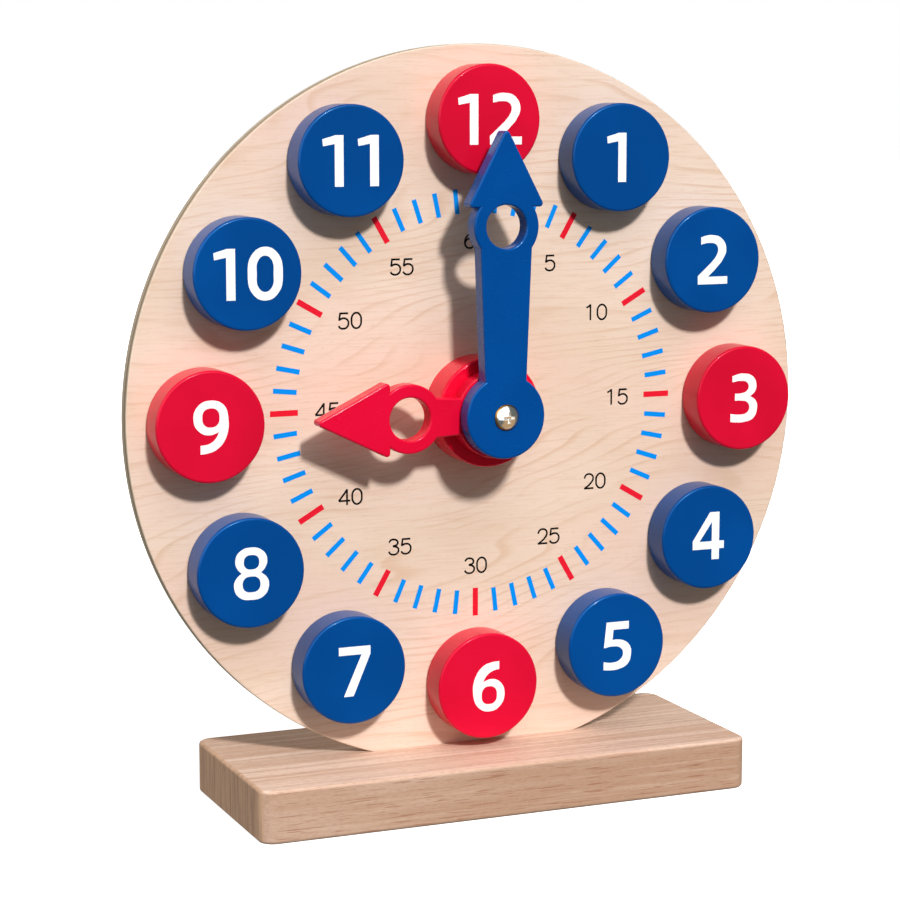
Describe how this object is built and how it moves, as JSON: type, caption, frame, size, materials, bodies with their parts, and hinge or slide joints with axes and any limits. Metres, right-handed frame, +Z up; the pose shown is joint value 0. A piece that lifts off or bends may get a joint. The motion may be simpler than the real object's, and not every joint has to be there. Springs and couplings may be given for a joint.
{
  "type": "geared teaching clock",
  "caption": "Freestanding wooden teaching clock: round dial on a plinth, pull-off number discs, and a minute hand geared to its hour hand.",
  "frame": {"origin": "centre of the plinth's underside, where the clock rests", "axes": "+Z up, the dial faces -Y, +X towards three o'clock; the hands rest at nine o'clock"},
  "size_m": [0.25, 0.075, 0.2618],
  "materials": {
    "plinth_wood": "oiled",
    "dial_ply": "matt lacquer",
    "red_paint_wood": "satin paint",
    "blue_paint_wood": "satin paint",
    "dowel_wood": "plain",
    "red_plastic": "gloss",
    "blue_plastic": "gloss",
    "gear_nylon": "plain",
    "steel": "plain",
    "nickel": "nickel plated",
    "brass": "plain"
  },
  "bodies": {
    "clock_stand": {"plinth_block": "plinth_wood", "dial_board": "dial_ply", "gear_case": "red_plastic", "case_screws": "steel", "plinth_screws": "steel", "idler_stud": "steel", "arbor_bush": "brass"},
    "minute_works": {"minute_hand": "blue_plastic", "minute_arbor": "steel", "hand_screw": "nickel", "rear_washer": "steel", "rear_nut": "steel"},
    "idler": {"idler_gear": "gear_nylon"},
    "hour_works": {"hour_hand": "red_plastic", "hour_wheel": "gear_nylon"},
    "disc_01": {"number_disc_01": "blue_paint_wood", "disc_dowel_01": "dowel_wood"},
    "disc_02": {"number_disc_02": "blue_paint_wood", "disc_dowel_02": "dowel_wood"},
    "disc_03": {"number_disc_03": "red_paint_wood", "disc_dowel_03": "dowel_wood"},
    "disc_04": {"number_disc_04": "blue_paint_wood", "disc_dowel_04": "dowel_wood"},
    "disc_05": {"number_disc_05": "blue_paint_wood", "disc_dowel_05": "dowel_wood"},
    "disc_06": {"number_disc_06": "red_paint_wood", "disc_dowel_06": "dowel_wood"},
    "disc_07": {"number_disc_07": "blue_paint_wood", "disc_dowel_07": "dowel_wood"},
    "disc_08": {"number_disc_08": "blue_paint_wood", "disc_dowel_08": "dowel_wood"},
    "disc_09": {"number_disc_09": "red_paint_wood", "disc_dowel_09": "dowel_wood"},
    "disc_10": {"number_disc_10": "blue_paint_wood", "disc_dowel_10": "dowel_wood"},
    "disc_11": {"number_disc_11": "blue_paint_wood", "disc_dowel_11": "dowel_wood"},
    "disc_12": {"number_disc_12": "red_paint_wood", "disc_dowel_12": "dowel_wood"}
  },
  "joints": [
    {"name": "minute_hand_turn", "type": "hinge", "parent": "clock_stand", "child": "minute_works", "pos_m": [0, 0, 0.1368], "axis": [0, 1, 0], "continuous": true},
    {"name": "idler_turn", "type": "hinge", "parent": "clock_stand", "child": "idler", "pos_m": [0, 0, 0.1458], "axis": [0, 1, 0], "continuous": true},
    {"name": "hour_hand_turn", "type": "hinge", "parent": "clock_stand", "child": "hour_works", "pos_m": [0, 0, 0.1368], "axis": [0, 1, 0], "continuous": true},
    {"name": "disc_01_pull", "type": "slide", "parent": "clock_stand", "child": "disc_01", "axis": [0, -1, 0], "range_m": [0, 0.006]},
    {"name": "disc_02_pull", "type": "slide", "parent": "clock_stand", "child": "disc_02", "axis": [0, -1, 0], "range_m": [0, 0.006]},
    {"name": "disc_03_pull", "type": "slide", "parent": "clock_stand", "child": "disc_03", "axis": [0, -1, 0], "range_m": [0, 0.006]},
    {"name": "disc_04_pull", "type": "slide", "parent": "clock_stand", "child": "disc_04", "axis": [0, -1, 0], "range_m": [0, 0.006]},
    {"name": "disc_05_pull", "type": "slide", "parent": "clock_stand", "child": "disc_05", "axis": [0, -1, 0], "range_m": [0, 0.006]},
    {"name": "disc_06_pull", "type": "slide", "parent": "clock_stand", "child": "disc_06", "axis": [0, -1, 0], "range_m": [0, 0.006]},
    {"name": "disc_07_pull", "type": "slide", "parent": "clock_stand", "child": "disc_07", "axis": [0, -1, 0], "range_m": [0, 0.006]},
    {"name": "disc_08_pull", "type": "slide", "parent": "clock_stand", "child": "disc_08", "axis": [0, -1, 0], "range_m": [0, 0.006]},
    {"name": "disc_09_pull", "type": "slide", "parent": "clock_stand", "child": "disc_09", "axis": [0, -1, 0], "range_m": [0, 0.006]},
    {"name": "disc_10_pull", "type": "slide", "parent": "clock_stand", "child": "disc_10", "axis": [0, -1, 0], "range_m": [0, 0.006]},
    {"name": "disc_11_pull", "type": "slide", "parent": "clock_stand", "child": "disc_11", "axis": [0, -1, 0], "range_m": [0, 0.006]},
    {"name": "disc_12_pull", "type": "slide", "parent": "clock_stand", "child": "disc_12", "axis": [0, -1, 0], "range_m": [0, 0.006]}
  ],
  "couplings": [
    {"joint": "idler_turn", "follows": "minute_hand_turn", "ratio": -0.33333},
    {"joint": "hour_hand_turn", "follows": "minute_hand_turn", "ratio": 0.083333}
  ]
}
